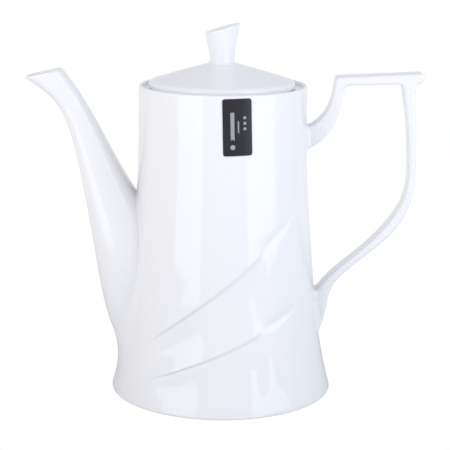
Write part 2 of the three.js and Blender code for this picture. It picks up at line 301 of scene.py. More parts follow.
# %% Helpers for lines, rings and finished pieces
def fair_line(points, at):
    """The natural cubic spline through points, one per whole number, read at each place in `at`."""
    points = np.array(points, float)
    count = len(points)
    system = np.eye(count) * 4
    system[0, 0] = system[-1, -1] = 2
    system += np.eye(count, k=1) + np.eye(count, k=-1)
    ends = np.vstack([points[1:], points[-1:]]) - np.vstack([points[:1], points[:-1]])
    slopes = np.linalg.solve(system, 3 * ends)
    at = np.clip(np.atleast_1d(at), 0, count - 1)
    start = np.minimum(at.astype(int), count - 2)
    t = (at - start)[:, None]
    a, b, ma, mb = points[start], points[start + 1], slopes[start], slopes[start + 1]
    return (
        a * (1 + 2 * t) * (1 - t) ** 2
        + ma * t * (1 - t) ** 2
        + b * t**2 * (3 - 2 * t)
        - mb * t**2 * (1 - t)
    )


def eased(x):
    """0 before 0, 1 after 1, with level ends in between."""
    x = np.clip(x, 0, 1)
    return x * x * (3 - 2 * x)


def chain(bm, points):
    """A line of edges through (radius, height) points in millimetres, ready to be spun."""
    verts = [bm.verts.new((radius * MM, 0, height * MM)) for radius, height in points]
    return verts + [bm.edges.new(pair) for pair in zip(verts, verts[1:])]


def spun(points, steps, centre_x=0.0):
    """A solid of revolution: the profile is spun once round the upright axis."""
    bm = bmesh.new()
    geometry = chain(bm, points)
    bmesh.ops.spin(
        bm, geom=geometry, cent=(0, 0, 0), axis=(0, 0, 1), angle=math.tau, steps=steps, use_merge=True
    )
    bmesh.ops.remove_doubles(bm, verts=bm.verts, dist=0.001 * MM)
    bmesh.ops.translate(bm, verts=bm.verts, vec=(centre_x, 0, 0))
    return bm


def round_corner(radius, height, size, start, end, steps=6):
    """Profile points on an arc, from one angle to another in degrees."""
    angles = np.radians(np.linspace(start, end, steps + 1))
    return [(radius + size * math.cos(a), height + size * math.sin(a)) for a in angles]


def ring_skin(bm, rings):
    """A skin through rings of points: a first circle, and each next ring extruded from the last."""
    ring = bmesh.ops.create_circle(bm, segments=len(rings[0]), radius=MM)["verts"]
    loops = []
    for points in rings:
        if loops:
            edges = [bm.edges.get((a, b)) for a, b in zip(ring, ring[1:] + ring[:1])]
            made = bmesh.ops.extrude_edge_only(bm, edges=edges)["geom"]
            fresh = {v for v in made if isinstance(v, bmesh.types.BMVert)}
            ring = [next(e.other_vert(v) for e in v.link_edges if e.other_vert(v) in fresh) for v in ring]
        for vert, place in zip(ring, points):
            vert.co = place
        loops.append(ring)
    return loops


def ring_edges(bm, ring):
    """The edges that join a ring's points, all the way round."""
    return [bm.edges.get((a, b)) for a, b in zip(ring, ring[1:] + ring[:1])]


def finish_piece(bm, name, body, materials, replaces=(), crease_degrees=50):
    """The mesh as a named piece: merged, facing outwards, smooth, and riding on its body."""
    bmesh.ops.remove_doubles(bm, verts=bm.verts, dist=0.0005 * MM)
    bmesh.ops.recalc_face_normals(bm, faces=bm.faces)
    mesh = bpy.data.meshes.new(name)
    bm.to_mesh(mesh)
    open_edges = sum(1 for edge in bm.edges if len(edge.link_faces) != 2)
    bm.free()
    mesh.shade_smooth()
    mesh.set_sharp_from_angle(angle=math.radians(crease_degrees))
    for material in materials:
        mesh.materials.append(material)
    piece = bpy.data.objects.new(name, mesh)
    bpy.context.scene.collection.objects.link(piece)
    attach(piece, body)
    if replaces:
        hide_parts(*replaces)
    mesh.calc_loop_triangles()
    size = [round(c / MM, 1) for c in piece.dimensions]
    print(name, len(mesh.loop_triangles), "triangles,", open_edges, "open edges, size in mm", size)


# %% [markdown]
# ## The body's outline
# The body is round, so one line of radius against height describes it. The CAD body is measured
# with rays that run in level to the axis. A low polynomial is put through the measured radii: it
# has no kinks at all, so the mirrored soft boxes run down it without a break.

# %% Measure the CAD body
body_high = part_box("pot_body")[1]
RIM = body_high.z / MM
RIM_RADIUS = 46.0
LIP = 2.2
WALL = 3.2
FOOT_EDGE = 1.5


def cad_radius(height):
    """The CAD body's radius at a height in millimetres, met by a ray from behind."""
    start = Vector((0, 0.2, height * MM))
    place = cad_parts["pot_body"].ray_cast(start, Vector((0, -1, 0)))[1]
    return place.y / MM


heights = np.arange(2, RIM - 1, 4)
radii = [cad_radius(h) for h in heights]
outline = np.polynomial.Polynomial.fit(heights, radii, 6)
difference = float(np.abs(outline(heights) - radii).max())
print("largest difference from the CAD outline, mm:", round(difference, 2))


def body_radius(height):
    """The body's plain radius at a height, both in millimetres."""
    return outline(height)


# %% [markdown]
# ## The folds
# Two long folds wind up the front of the body, like the edges of overlapping skirts. Above each
# edge the wall leans out a little. At the edge it steps in sharply, scoops in below, and comes back
# out down to the next edge. Both ends of a fold fade out. Near the upper end the step widens into a
# leaf and twists over, so that it faces up and catches the light. The far side has the same two
# folds, turned half way round the pot.

# %% Fold shapes
FLARE_ABOVE = 14  # the wall leans out over this height above an edge
LEAF_GROOVE = 0.7
LEAF_LIFT = 0.3
LEAF_FADE = 5  # the groove above a leaf runs out over this height
FOLD_REPEAT = 180
MIDDLE_RADIUS = 52  # the body's usual radius at the folds
# Places along a fold, and lengths of it, as shares of the whole.
FADE_IN = 0.22
FADE_OUT = 0.08
TWIST_STARTS = 0.68
TWIST_LENGTH = 0.1
TIP = 0.15
TIP_NARROWING = 0.7
LEAF_SKEW = 2.6  # more moves the widest place of the leaf further up the fold


class Fold:
    """One fold: angles are in degrees from the front towards the handle, the rest in millimetres."""

    def __init__(self, start, end, height, climb, rise, drop, scoop, hold, narrow, wide):
        self.start, self.end = start, end
        self.height, self.climb = height, climb
        self.rise, self.drop, self.scoop, self.hold = rise, drop, scoop, hold
        self.narrow, self.wide = narrow, wide
        self.lean = math.cos(math.atan(math.degrees(climb) / MIDDLE_RADIUS))

    def share(self, angle):
        """How far along the fold an angle is: 0 at its lower end, 1 at its upper end."""
        return ((angle - self.start) % FOLD_REPEAT) / (self.end - self.start)

    def level(self, angle):
        """The height of the fold's edge. Past its ends it returns smoothly to where it starts."""
        share = self.share(angle)
        angle_in = self.start + share * (self.end - self.start)
        along = self.height + self.climb * angle_in
        rest = FOLD_REPEAT - (self.end - self.start)
        t = (angle_in - self.end) / rest
        low = self.height + self.climb * self.start
        high = self.height + self.climb * self.end
        back = (
            high * (1 + 2 * t) * (1 - t) ** 2
            + low * t**2 * (3 - 2 * t)
            + self.climb * rest * t * (1 - t) * (1 - 2 * t)
        )
        return along if share <= 1 else back

    def strength(self, angle):
        """1 along the fold, fading to 0 at both ends."""
        share = self.share(angle)
        return float(eased(share / FADE_IN) * eased((1 - share) / FADE_OUT)) if share < 1 else 0.0

    def twist(self, angle):
        """0 where the step faces down, 1 near the upper end, where it has turned to face up."""
        return float(eased((self.share(angle) - TWIST_STARTS) / TWIST_LENGTH))

    def width(self, angle):
        """The width of the step, square to the edge: a leaf that is widest near the upper end."""
        share = min(self.share(angle), 1)
        leaf = self.narrow + (self.wide - self.narrow) * math.sin(math.pi * share**LEAF_SKEW)
        return leaf * (1 - TIP_NARROWING * float(eased((share - (1 - TIP)) / TIP)))

    def push(self, above, width, strength, twist, below):
        """How far the wall moves out, `above` millimetres over the middle of the step."""
        if strength == 0:
            return 0.0
        top = self.rise * (1 - twist) - LEAF_GROOVE * twist
        foot = -self.drop * (1 - twist) + LEAF_LIFT * twist
        if above >= width / 2:
            reach = FLARE_ABOVE * (1 - twist) + LEAF_FADE * twist
            return strength * top * (1 - float(eased((above - width / 2) / reach)))
        if above <= -width / 2:
            t = min((-above - width / 2) / below, 1)
            back = 1 - float(eased((t - self.hold) / (1 - self.hold)))
            return strength * (foot * back - self.scoop * (1 - twist) * math.sin(math.pi * t) * (1 - t**3))
        return strength * (foot + (top - foot) * (above / width + 0.5))


UPPER_FOLD = Fold(-50, 54, 68.3, 0.69, rise=0.15, drop=1.15, scoop=0.8, hold=0.3, narrow=0.8, wide=3.6)
LOWER_FOLD = Fold(-46, 51, 34.3, 0.41, rise=0.15, drop=1.05, scoop=0.8, hold=0.45, narrow=0.8, wide=2.8)
for fold in (LOWER_FOLD, UPPER_FOLD):
    print("a fold climbs from", fold.level(fold.start), "to", fold.level(fold.end), "mm")

# %% [markdown]
# ## The body
# The profile is one closed line: foot, outside, lip, gallery, inside and floor. It is spun round
# the axis in steps of three quarters of a degree. The rows of the outside are then slid up and
# down so that some of them lie exactly on the folds' edges, which keeps the edges crisp without a
# very fine mesh everywhere. Last, each point of the outside moves in or out by the folds' depth.

# %% Body profile
SPIN_STEPS = 480
FOLD_ZONE_TOP = 128
STEP_ROWS = (-1.6, -1, -0.4, 0.4, 1, 1.6)  # nominal rows about the middle of a step
NOMINAL_LOWER = 35
NOMINAL_UPPER = 72
EDGE_SUPPORT = 0.45

foot_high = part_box("foot_ring")[1]
FOOT_RING_OUTER = foot_high.y / MM
FOOT_RING_HEIGHT = foot_high.z / MM
FOOT_RING_WIDTH = 3.6
FOOT_RECESS = 3.4
FOOT_CLEARANCE = 0.6
FOOT_ROUND = 0.88  # radius of the glazed edge round the foot
GROOVE_GAP = 0.3  # inside the foot ring
RING_GAP = 0.2  # outside it
RING_SEAT_GAP = 0.1  # above it
LEDGE = RIM - 1.8
MOUTH_RADIUS = 37.4
LEDGE_FILLET = 0.5
LEDGE_ROUND = 0.8
LEDGE_THICKNESS = 3
LEDGE_UNDER_ROUND = 1.2
WALL_TOP_DROP = 14  # the wall is thicker from here up to the ledge
FLOOR_TOP = 7.4
FLOOR_CORNER = 8
ROW_MARGIN = 2.4  # from the middle of a step to the evenly spaced rows

step_rows = [NOMINAL_LOWER + s for s in STEP_ROWS] + [NOMINAL_UPPER + s for s in STEP_ROWS]
outside_rows = np.concatenate([
    np.linspace(FOOT_EDGE, NOMINAL_LOWER - ROW_MARGIN, 22),
    step_rows[:6],
    np.linspace(NOMINAL_LOWER + ROW_MARGIN, NOMINAL_UPPER - ROW_MARGIN, 32),
    step_rows[6:],
    np.linspace(NOMINAL_UPPER + ROW_MARGIN, FOLD_ZONE_TOP, 42),
    np.linspace(FOLD_ZONE_TOP + 2.5, RIM - LIP / 2, 16),
])
inside_rows = np.linspace(RIM - WALL_TOP_DROP, FLOOR_TOP + FLOOR_CORNER, 26)
corner_radius = body_radius(FLOOR_TOP + FLOOR_CORNER) - WALL - FLOOR_CORNER
groove = FOOT_RING_OUTER - FOOT_RING_WIDTH - GROOVE_GAP

body_profile = [
    (0, FOOT_RECESS),
    (groove - 6, FOOT_RECESS),
    (groove - 1.5, FOOT_RECESS - 0.1),
    *round_corner(groove - 0.5, FOOT_RING_HEIGHT + 0.8, 0.5, 60, 0, 3)[1:],
    (groove, FOOT_RING_HEIGHT + RING_SEAT_GAP),
    (FOOT_RING_OUTER + RING_GAP, FOOT_RING_HEIGHT + RING_SEAT_GAP),
    (FOOT_RING_OUTER + RING_GAP, FOOT_CLEARANCE + RING_GAP),
    *round_corner(body_radius(FOOT_EDGE) - 0.85, FOOT_EDGE, FOOT_ROUND, -100, -12, 6),
    *[(body_radius(h), h) for h in outside_rows],
    *round_corner(RIM_RADIUS - LIP / 2, RIM - LIP / 2, LIP / 2, 15, 165, 9),
    (RIM_RADIUS - LIP, LEDGE + LEDGE_FILLET),
    *round_corner(RIM_RADIUS - LIP - LEDGE_FILLET, LEDGE + LEDGE_FILLET, LEDGE_FILLET, -20, -90, 3),
    (MOUTH_RADIUS + 3, LEDGE),
    *round_corner(MOUTH_RADIUS + LEDGE_ROUND, LEDGE - LEDGE_ROUND, LEDGE_ROUND, 90, 180, 5),
    (MOUTH_RADIUS, LEDGE - LEDGE_THICKNESS),
    *round_corner(MOUTH_RADIUS + LEDGE_UNDER_ROUND, LEDGE - 3.6, LEDGE_UNDER_ROUND, 180, 250, 4),
    (41.5, RIM - 9),
    *[(body_radius(h) - WALL, h) for h in inside_rows],
    *round_corner(corner_radius, FLOOR_TOP + FLOOR_CORNER, FLOOR_CORNER, 0, -90, 8)[1:],
    (corner_radius / 2, FLOOR_TOP),
    (0, FLOOR_TOP),
]
bm = spun(body_profile, SPIN_STEPS)
print("body profile has", len(body_profile), "points")

# %% Slide the rows on to the folds and push the folds in
ROW_KNOTS = [FOOT_EDGE, *step_rows, FOLD_ZONE_TOP]
FOLD_REACH = 0.92  # of the way down to the next fold
FOLD_FOOT = 3  # the lower fold's hollow ends at this height


def row_levels(angle):
    """Where the nominal rows of ROW_KNOTS lie at an angle, once they follow the folds."""
    levels = [FOOT_EDGE]
    for fold in (LOWER_FOLD, UPPER_FOLD):
        half = fold.width(angle) / 2
        offsets = (-half - EDGE_SUPPORT, -half, -half * 0.4, half * 0.4, half, half + EDGE_SUPPORT)
        levels += [fold.level(angle) + offset / fold.lean for offset in offsets]
    return levels + [FOLD_ZONE_TOP]


def fold_push(angle, height):
    """The sum of what both folds do to the wall at a place, in millimetres."""
    upper, lower = UPPER_FOLD.level(angle), LOWER_FOLD.level(angle)
    total = 0.0
    for fold, level_here, next_down in ((UPPER_FOLD, upper, lower), (LOWER_FOLD, lower, FOLD_FOOT)):
        reach = FOLD_REACH * (level_here - next_down)
        above = (height - level_here) * fold.lean
        total += fold.push(above, fold.width(angle), fold.strength(angle), fold.twist(angle), reach)
    return total


columns = {}
for vert in bm.verts:
    height = vert.co.z / MM
    radius = math.hypot(vert.co.x, vert.co.y) / MM
    if FOOT_EDGE + 0.01 < height < FOLD_ZONE_TOP and radius > body_radius(height) - 0.5:
        angle = math.degrees(math.atan2(vert.co.x, -vert.co.y))
        columns.setdefault(round(angle / 360 * SPIN_STEPS) % SPIN_STEPS, (angle, []))[1].append(vert)

for angle, verts in columns.values():
    levels = row_levels(angle)
    for vert in verts:
        height = float(np.interp(vert.co.z / MM, ROW_KNOTS, levels))
        radius = body_radius(height) + fold_push(angle, height)
        turn = math.radians(angle)
        vert.co = Vector((radius * math.sin(turn), -radius * math.cos(turn), height)) * MM
print("fold columns:", len(columns))

# %% [markdown]
# The coffee leaves the body through an oval hole under the spout. Every face of the outer and the
# inner wall that touches the oval is deleted, the two edges are drawn on to the oval, and a ring of
# faces is bridged between them.

# %% Pouring hole
HOLE_CENTRE = 74
HOLE_HALF_WIDTH = 9
HOLE_HALF_HEIGHT = 20


def hole_place(co):
    """A place on the wall, as shares of the oval's half width and half height."""
    return co.y / MM / HOLE_HALF_WIDTH, (co.z / MM - HOLE_CENTRE) / HOLE_HALF_HEIGHT


inside_oval = [
    f for f in bm.faces
    if f.calc_center_median().x < -0.03 and any(math.hypot(*hole_place(v.co)) < 1 for v in f.verts)
]
bmesh.ops.delete(bm, geom=inside_oval, context="FACES")
rim_edges = [e for e in bm.edges if len(e.link_faces) == 1]
for vert in {v for e in rim_edges for v in e.verts}:
    across, up = hole_place(vert.co)
    size = math.hypot(across, up)
    radius = math.hypot(vert.co.x, vert.co.y)
    vert.co.y = across / size * HOLE_HALF_WIDTH * MM
    vert.co.z = (HOLE_CENTRE + up / size * HOLE_HALF_HEIGHT) * MM
    vert.co.x = -math.sqrt(radius**2 - vert.co.y**2)
bmesh.ops.bridge_loops(bm, edges=rim_edges)
print("pouring hole: removed", len(inside_oval), "faces")
finish_piece(bm, "porcelain_body", "pot", [PORCELAIN], ["pot_body"], 60)

# %% [markdown]
# ## The foot ring
# The glaze would weld the pot to the kiln shelf, so the ring it stands on is wiped clean and
# ground flat after firing. It is the only bare clay on the pot.

# %% Foot ring
ring_inner = FOOT_RING_OUTER - FOOT_RING_WIDTH
ring_chamfer = 0.4
bm = spun([
    *round_corner(ring_inner + ring_chamfer, ring_chamfer, ring_chamfer, 180, 270, 3),
    *round_corner(FOOT_RING_OUTER - ring_chamfer, ring_chamfer, ring_chamfer, -90, 0, 3),
    (FOOT_RING_OUTER, FOOT_RING_HEIGHT),
    (ring_inner, FOOT_RING_HEIGHT),
    (ring_inner, ring_chamfer),
], 240)
finish_piece(bm, "bisque_foot_ring", "pot", [BISQUE], ["foot_ring"])

# %% [markdown]
# ## The spout
# The spout is a swan neck, cast apart and luted on. Two rails in the upright middle plane carry it:
# the breast, in front, and the throat, towards the body. Each section is an oval between them.
# Every line of the skin runs down from the lip until it meets the body, and there it turns out
# into a fillet that lies down on the body's surface: tight at the top, wide at the foot, as the
# potter's sponge leaves it. The inside is the same skin, thinner by the wall.

# %% Spout rails
SPOUT_BREAST = [
    (-53, 19), (-60.3, 33), (-66.7, 56), (-71.7, 86),
    (-77.6, 119), (-84, 146), (-92.9, 163.4), (-107.6, 174.7),
]
SPOUT_THROAT = [
    (-34, 19), (-34, 35), (-34, 60), (-36, 90),
    (-50.4, 116.2), (-65.4, 143.6), (-77.6, 165.4), (-87.4, 179.4),
]
SPOUT_HALF_WIDTH = [(11,), (18,), (22.5,), (22.5,), (15,), (10.2,), (8.6,), (8.4,)]
SPOUT_WALL = 2.2
SPOUT_SQUARENESS = 2.7  # 2 is an ellipse, more is squarer: the sides are slightly flattened
SPOUT_POINTS = 96
SPOUT_RINGS = 72
SPOUT_FILLET_RINGS = 9
SPOUT_MIDDLE = Vector((-50, 0, 70))  # a place inside the spout's root
SPOUT_SINK = 0.05  # the fillet's edge lies this far under the body's surface
FILLET_SMALLEST = 2.2
FILLET_GROWTH = 13
FILLET_GROWS_BELOW = 88  # from this height down
FILLET_GROWS_OVER = 50
LIP_END = len(SPOUT_BREAST) - 1

fine = np.linspace(0, LIP_END, 600)
breast_line = fair_line(SPOUT_BREAST, fine)
throat_line = fair_line(SPOUT_THROAT, fine)
width_line = fair_line(SPOUT_HALF_WIDTH, fine)[:, 0]


def spout_line(turn, inset):
    """One line of the spout's skin, from the root to the lip: an array of (x, y, z) in millimetres."""
    across = throat_line - breast_line
    length = np.linalg.norm(across, axis=1)
    middle = (throat_line + breast_line) / 2
    power = 2 / SPOUT_SQUARENESS
    along = (length / 2 - inset) * math.copysign(abs(math.cos(turn)) ** power, math.cos(turn))
    side = (width_line - inset) * math.copysign(abs(math.sin(turn)) ** power, math.sin(turn))
    unit = across / length[:, None]
    x, z = (middle + unit * along[:, None]).T
    return np.stack([x, side, z], axis=1)


def meets_body(line, gap=0.0):
    """The index on a line, as a real number, where it comes down to the body's surface."""
    clear = np.hypot(line[:, 0], line[:, 1]) - body_radius(line[:, 2]) - gap
    last_inside = np.nonzero(clear < 0)[0][-1]
    share = -clear[last_inside] / (clear[last_inside + 1] - clear[last_inside])
    return last_inside + share


def read_line(line, at):
    """Places on a line at real-number indices."""
    whole = np.clip(np.floor(at).astype(int), 0, len(line) - 2)
    part = (at - whole)[:, None]
    return line[whole] * (1 - part) + line[whole + 1] * part


def on_body(place, sink=0.0):
    """A place in millimetres, moved straight in or out to the body's surface."""
    radius = math.hypot(place.x, place.y)
    scale = (body_radius(place.z) - sink) / radius
    return Vector((place.x * scale, place.y * scale, place.z))


# %% Spout skin
def spout_fillet_size(height):
    """The fillet's reach in millimetres: tight under the throat, wide low down."""
    growth = float(eased((FILLET_GROWS_BELOW - height) / FILLET_GROWS_OVER))
    return FILLET_SMALLEST + FILLET_GROWTH * growth


turns = np.linspace(0, math.tau, SPOUT_POINTS, endpoint=False)
outer_lines = [spout_line(turn, 0) for turn in turns]
inner_lines = [spout_line(turn, SPOUT_WALL) for turn in turns]
outer_ends = [meets_body(line) for line in outer_lines]
inner_ends = [meets_body(line) for line in inner_lines]
feet = [Vector(read_line(line, np.array([end]))[0]) for line, end in zip(outer_lines, outer_ends)]


def fillet_ends(index):
    """Where the fillet leaves the spout's line, its corner, and where it lies down on the body."""
    corner = feet[index]
    size = spout_fillet_size(corner.z)
    line, end = outer_lines[index], outer_ends[index]
    steps = np.linalg.norm(np.diff(line[int(end):], axis=0), axis=1)
    start = end + np.searchsorted(np.cumsum(steps), size)
    along = feet[(index + 1) % SPOUT_POINTS] - feet[index - 1]
    outward = Vector((corner.x, corner.y, 0)).normalized()
    away = along.cross(outward).normalized()
    if away.dot(corner - SPOUT_MIDDLE) < 0:
        away.negate()
    return start, corner, on_body(corner + away * size, SPOUT_SINK)


fillets = [fillet_ends(i) for i in range(SPOUT_POINTS)]
top = len(fine) - 1
outer_rings = []
for k in range(SPOUT_RINGS + 1):
    share = k / SPOUT_RINGS
    places = [
        Vector(read_line(line, np.array([top + (start - top) * share]))[0])
        for line, (start, _, _) in zip(outer_lines, fillets)
    ]
    outer_rings.append(places)
last_free = outer_rings[-1]
for k in range(1, SPOUT_FILLET_RINGS + 1):
    t = k / SPOUT_FILLET_RINGS
    places = [
        begin * (1 - t) ** 2 + corner * 2 * t * (1 - t) + landing * t**2
        for begin, (_, corner, landing) in zip(last_free, fillets)
    ]
    outer_rings.append([
        on_body(p, SPOUT_SINK) if math.hypot(p.x, p.y) < body_radius(p.z) else p for p in places
    ])

inner_rings = []
for k in range(SPOUT_RINGS // 2 + 1):
    share = 1 - k / (SPOUT_RINGS // 2)
    inner_rings.append([
        Vector(read_line(line, np.array([top + (end - top) * share]))[0])
        for line, end in zip(inner_lines, inner_ends)
    ])

# %% Spout lip and assembly
LIP_ROLL = 5
LIP_BULGE = 0.5  # how far the lip's roll stands out, as a share of the wall
lip_outer, lip_inner = outer_rings[0], inner_rings[-1]
run_out = Vector((-0.5, 0, 0.87))
lip_roll = []
for k in range(1, LIP_ROLL):
    angle = math.pi * k / LIP_ROLL
    lip_roll.append([
        (a + b) / 2 + (b - a) / 2 * math.cos(angle) + run_out * (LIP_BULGE * SPOUT_WALL * math.sin(angle))
        for a, b in zip(lip_outer, lip_inner)
    ])
bm = bmesh.new()
all_rings = outer_rings + inner_rings + lip_roll
loops = ring_skin(bm, [[place * MM for place in ring] for ring in all_rings])
bmesh.ops.bridge_loops(bm, edges=ring_edges(bm, loops[0]) + ring_edges(bm, loops[-1]))
finish_piece(bm, "porcelain_spout", "pot", [PORCELAIN], ["spout"], 60)

# %% [markdown]
# ## The handle
# The handle is a cast strap with square-cut bends, drawn here from the side as one outline. The
# outline becomes a face, the face is extruded to the strap's width, and its long edges are
# bevelled, as the glaze rounds them. A narrow inset keeps each flank flat right up to its bevel.

# %% Handle outline
HANDLE_WIDTH = 13.5
HANDLE_EDGE = 1.6
FLANK_INSET = 0.2
EDGE_STARTS = -0.4  # an edge this far under the body's skin, or further, is left sharp


def bend(start, control, end, steps=6):
    """Points on a quadratic curve, without its start."""
    line = []
    for t in np.linspace(0, 1, steps + 1)[1:]:
        line.append(tuple(
            a * (1 - t) ** 2 + b * 2 * t * (1 - t) + c * t**2 for a, b, c in zip(start, control, end)
        ))
    return line


def sweep(points, steps=6):
    """Points on the smooth line through a few given ones, without its start."""
    at = np.linspace(0, len(points) - 1, steps * (len(points) - 1) + 1)[1:]
    return [tuple(p) for p in fair_line(points, at)]


handle_outline = [
    (44.2, 138),
    *sweep([(44.2, 138), (50, 139.3), (57.8, 146.4), (63.2, 157.6), (65.4, 168.6)]),
    *bend((65.4, 168.6), (66, 172.6), (69, 172.7)),
    (94.6, 173.4),
    *bend((94.6, 173.4), (97.6, 173.4), (98, 170)),
    *sweep([
        (98, 170), (100.9, 150), (102.3, 128), (101, 112.6),
        (94, 98.4), (79.4, 82.2), (62.9, 68), (51.4, 55),
    ]),
    (51.8, 33),
    (54.2, 33),
    *sweep([
        (54.2, 33), (57.4, 41), (59.4, 50.5), (63, 61.4),
        (77, 75.2), (94, 90.2), (103.2, 105.6), (106.3, 126), (104.8, 168.6),
    ]),
    *bend((104.8, 168.6), (104.8, 173.4), (107.2, 174.2)),
    *bend((107.2, 174.2), (109.4, 174.8), (109.4, 177)),
    *bend((109.4, 177), (109.4, 179.6), (106.8, 179.4)),
    (63.4, 177.2),
    *bend((63.4, 177.2), (61.2, 177), (60.9, 174.6)),
    *sweep([(60.9, 174.6), (59.2, 165.2), (54.4, 155.4), (44.6, 148)]),
]
print("handle outline has", len(handle_outline), "points")


# %% Handle strap
def thickened(bm, thickness):
    """Pulls every face of a flat mesh sideways by a thickness, to make closed plates."""
    pulled = bmesh.ops.extrude_face_region(bm, geom=bm.faces[:], use_keep_orig=True)["geom"]
    bmesh.ops.translate(
        bm, verts=[v for v in pulled if isinstance(v, bmesh.types.BMVert)], vec=(0, thickness * MM, 0)
    )


def skin_gap(place):
    """How far a place in millimetres stands clear of the body's plain surface."""
    return math.hypot(place.x, place.y) - body_radius(place.z)


bm = bmesh.new()
half = HANDLE_WIDTH / 2
bm.faces.new([bm.verts.new((x * MM, -half * MM, z * MM)) for x, z in handle_outline])
thickened(bm, HANDLE_WIDTH)
flat_edges = [e for e in bm.edges if abs(e.verts[0].co.y - e.verts[1].co.y) < 0.1 * MM]
rim_edges = [e for e in flat_edges if max(skin_gap(v.co / MM) for v in e.verts) > EDGE_STARTS]
bmesh.ops.bevel(
    bm, geom=rim_edges, offset=HANDLE_EDGE * MM, offset_type="OFFSET", segments=5, profile=0.5,
    affect="EDGES", material=-1, clamp_overlap=False,
)
flanks = [f for f in bm.faces if len(f.verts) > 20]
bmesh.ops.inset_region(bm, faces=flanks, thickness=FLANK_INSET * MM, use_even_offset=True)
print("handle flanks:", len(flanks))

# %% [markdown]
# Both ends of the strap are luted to the body, and the seam is filled with slip and sponged. The
# strap is sliced where it comes near the body, and the slices are spread out along a quarter
# circle, so that the strap runs into the body in a small hollow fillet.

# %% Handle roots
ROOT_FILLET = 3
ROOT_SLICES = 9
ROOT_LEVELS = (143, 46)  # heights of the upper and the lower root
SLICE_CROWDING = 1.5  # more brings the slices closer to the body
FIRST_SLICE = 0.05
LEAN_SPAN = 10  # the body's slope at a root is measured over this height
SIDE_FACING = 0.3  # a normal that turns sideways by less than this stays put

for level_here in ROOT_LEVELS:
    skin = body_radius(level_here)
    lean = body_radius(level_here - LEAN_SPAN / 2) - body_radius(level_here + LEAN_SPAN / 2)
    for k in range(ROOT_SLICES):
        gap = ROOT_FILLET * (k / (ROOT_SLICES - 1)) ** SLICE_CROWDING + FIRST_SLICE
        bmesh.ops.bisect_plane(
            bm, geom=bm.verts[:] + bm.edges[:] + bm.faces[:], dist=1e-7,
            plane_co=((skin + gap) * MM, 0, level_here * MM),
            plane_no=Vector((LEAN_SPAN, 0, lean)).normalized(),
        )
bmesh.ops.recalc_face_normals(bm, faces=bm.faces)
bm.normal_update()
for vert in bm.verts:
    place = vert.co / MM
    near = 1 - min(max(skin_gap(place) / ROOT_FILLET, 0), 1)
    outward = Vector((place.x, place.y, 0)).normalized()
    sideways = vert.normal - outward * vert.normal.dot(outward)
    if near > 0 and sideways.length > SIDE_FACING:
        vert.co += sideways.normalized() * (ROOT_FILLET * (1 - math.sqrt(1 - near**2)) * MM)
finish_piece(bm, "porcelain_handle", "pot", [PORCELAIN], ["handle"], 45)

# %% [markdown]
# ## The lid
# The lid is a shallow cone with a rolled edge. It rests on the ledge inside the rim, and a collar
# underneath keeps it from sliding off when the pot is tipped. All three parts are lathe work, so
# each is a profile spun round the lid's own axis.

# %% Lid cover
LID_STEPS = 192
cover_low, cover_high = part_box("lid_cover")
LID_AXIS = (cover_low.x + cover_high.x) / 2
LID_RADIUS = (cover_high.y - cover_low.y) / 2 / MM
LID_SEAT = cover_low.z / MM
LID_TOP = cover_high.z / MM
LID_SHELL = 3.2
LID_SWELL = 0.35  # how far the cone bulges in its middle
LID_EDGE_WIDTH = 2.6
LID_EDGE_HEIGHT = 4.4
collar_low, collar_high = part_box("lid_collar")
COLLAR_RADIUS = (collar_high.y - collar_low.y) / 2 / MM
COLLAR_THICKNESS = 2.8
knob_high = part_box("lid_knob")[1]
KNOB_BASE = 6.6

shoulder = (LID_RADIUS - LID_EDGE_WIDTH, LID_SEAT + LID_EDGE_HEIGHT)
flat_edge = (KNOB_BASE + 1, LID_TOP)
cone_middle = ((KNOB_BASE + shoulder[0]) / 2, (LID_TOP + shoulder[1]) / 2 + LID_SWELL)
hollow = COLLAR_RADIUS - COLLAR_THICKNESS
bm = spun([
    (0, LID_TOP),
    (KNOB_BASE - 2, LID_TOP),
    flat_edge,
    *sweep([flat_edge, cone_middle, shoulder], 10),
    *bend(shoulder, (LID_RADIUS - 0.1, shoulder[1] - 0.9), (LID_RADIUS, LID_SEAT + 2.4), 8),
    (LID_RADIUS, LID_SEAT + 0.9),
    *round_corner(LID_RADIUS - 0.8, LID_SEAT + 0.8, 0.8, -15, -90, 4),
    (COLLAR_RADIUS + 1, LID_SEAT),
    (hollow, LID_SEAT),
    *bend((hollow, LID_SEAT), (hollow, LID_SEAT + 2.4), (hollow - 4, LID_SEAT + 3.2), 5),
    ((KNOB_BASE + hollow) / 2, (LID_TOP + LID_SEAT) / 2 + 1.6),
    (KNOB_BASE, LID_TOP - LID_SHELL - 1),
    (0, LID_TOP - LID_SHELL - 1),
], LID_STEPS, LID_AXIS)
finish_piece(bm, "porcelain_lid", "lid", [PORCELAIN], ["lid_cover"])

# %% Lid collar
collar_top, collar_bottom = collar_high.z / MM, collar_low.z / MM
collar_roll = COLLAR_THICKNESS / 2
bm = spun([
    (hollow, collar_top),
    (COLLAR_RADIUS, collar_top),
    *round_corner(COLLAR_RADIUS - collar_roll, collar_bottom + collar_roll, collar_roll, 0, -180, 10),
    (hollow, collar_top),
], LID_STEPS, LID_AXIS)
finish_piece(bm, "porcelain_lid_collar", "lid_ring", [PORCELAIN], ["lid_collar"])

# %% [markdown]
# ## The knob
# The knob flares upwards and its top is cut off at a slant, which rises towards the handle. Rings
# are extruded upwards from the dome: the first few make the fillet at its foot, the next the
# flare, and the last ones roll over the rim and run in to the middle of the slanted top.

# %% Knob
KNOB_POINTS = 72
KNOB_TOP = 9.4
KNOB_SLANT = math.tan(math.radians(16))
KNOB_EDGE = 0.7
KNOB_FILLET = 2.4
KNOB_SINK = 0.8  # the knob's skin starts this far inside the lid
KNOB_CROWN = 0.25
KNOB_STRAIGHTNESS = 0.6  # the share of the flare that is straight; the rest curves outwards


